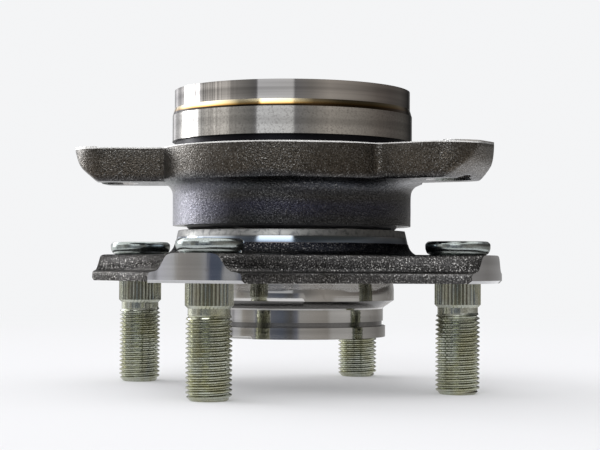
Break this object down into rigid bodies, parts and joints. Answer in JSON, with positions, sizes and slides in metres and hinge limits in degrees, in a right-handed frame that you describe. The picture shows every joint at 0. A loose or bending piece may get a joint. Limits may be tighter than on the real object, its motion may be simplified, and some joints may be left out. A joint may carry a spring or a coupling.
{
  "type": "wheel hub bearing",
  "caption": "Flanged wheel hub bearing with star-shaped stud flange, eared outer ring, knuckle spigot, splined bore and caged ball rows.",
  "frame": {"origin": "on the bearing axis in the plane of the rotor face, at the root of the brake pilot", "axes": "+Z along the bearing axis towards the knuckle; the wheel studs point down -Z and the first stud lies 24.5 degrees from +X towards -Y"},
  "size_m": [0.1212, 0.119, 0.0854],
  "materials": {
    "bearing_ring_steel": "forged and shot-blasted, with ground spigot",
    "hub_steel": "forged and shot-blasted, with turned faces and pilots",
    "ground_steel": "ground",
    "ball_steel": "polished",
    "zinc_steel": "yellow-grey zinc plate",
    "cage_polymer": "moulded, natural",
    "seal_sheet": "pressed stainless sheet",
    "seal_rubber": "matt nitrile rubber",
    "encoder_rubber": "magnet-filled rubber"
  },
  "bodies": {
    "knuckle_side": {"outer_ring": "bearing_ring_steel", "outboard_seal_case": "seal_sheet", "outboard_seal_lip": "seal_rubber", "inboard_seal_case": "seal_sheet", "inboard_seal_lip": "seal_rubber"},
    "wheel_side": {"hub": "hub_steel", "inner_ring": "ground_steel", "wheel_stud_1": "zinc_steel", "wheel_stud_2": "zinc_steel", "wheel_stud_3": "zinc_steel", "wheel_stud_4": "zinc_steel", "slinger": "seal_sheet", "encoder_ring": "encoder_rubber"},
    "outboard_row": {"outboard_cage": "cage_polymer", "outboard_ball_01": "ball_steel", "outboard_ball_02": "ball_steel", "outboard_ball_03": "ball_steel", "outboard_ball_04": "ball_steel", "outboard_ball_05": "ball_steel", "outboard_ball_06": "ball_steel", "outboard_ball_07": "ball_steel", "outboard_ball_08": "ball_steel", "outboard_ball_09": "ball_steel", "outboard_ball_10": "ball_steel", "outboard_ball_11": "ball_steel", "outboard_ball_12": "ball_steel", "outboard_ball_13": "ball_steel"},
    "inboard_row": {"inboard_cage": "cage_polymer", "inboard_ball_01": "ball_steel", "inboard_ball_02": "ball_steel", "inboard_ball_03": "ball_steel", "inboard_ball_04": "ball_steel", "inboard_ball_05": "ball_steel", "inboard_ball_06": "ball_steel", "inboard_ball_07": "ball_steel", "inboard_ball_08": "ball_steel", "inboard_ball_09": "ball_steel", "inboard_ball_10": "ball_steel", "inboard_ball_11": "ball_steel", "inboard_ball_12": "ball_steel", "inboard_ball_13": "ball_steel"}
  },
  "joints": [
    {"name": "hub_spin", "type": "hinge", "parent": "knuckle_side", "child": "wheel_side", "pos_m": [0, 0, 0], "axis": [0, 0, 1], "continuous": true},
    {"name": "outboard_cage_spin", "type": "hinge", "parent": "knuckle_side", "child": "outboard_row", "pos_m": [0, 0, 0.0255], "axis": [0, 0, 1], "continuous": true},
    {"name": "inboard_cage_spin", "type": "hinge", "parent": "knuckle_side", "child": "inboard_row", "pos_m": [0, 0, 0.043], "axis": [0, 0, 1], "continuous": true}
  ],
  "couplings": [
    {"joint": "outboard_cage_spin", "follows": "hub_spin", "ratio": 0.4249},
    {"joint": "inboard_cage_spin", "follows": "hub_spin", "ratio": 0.4249}
  ]
}
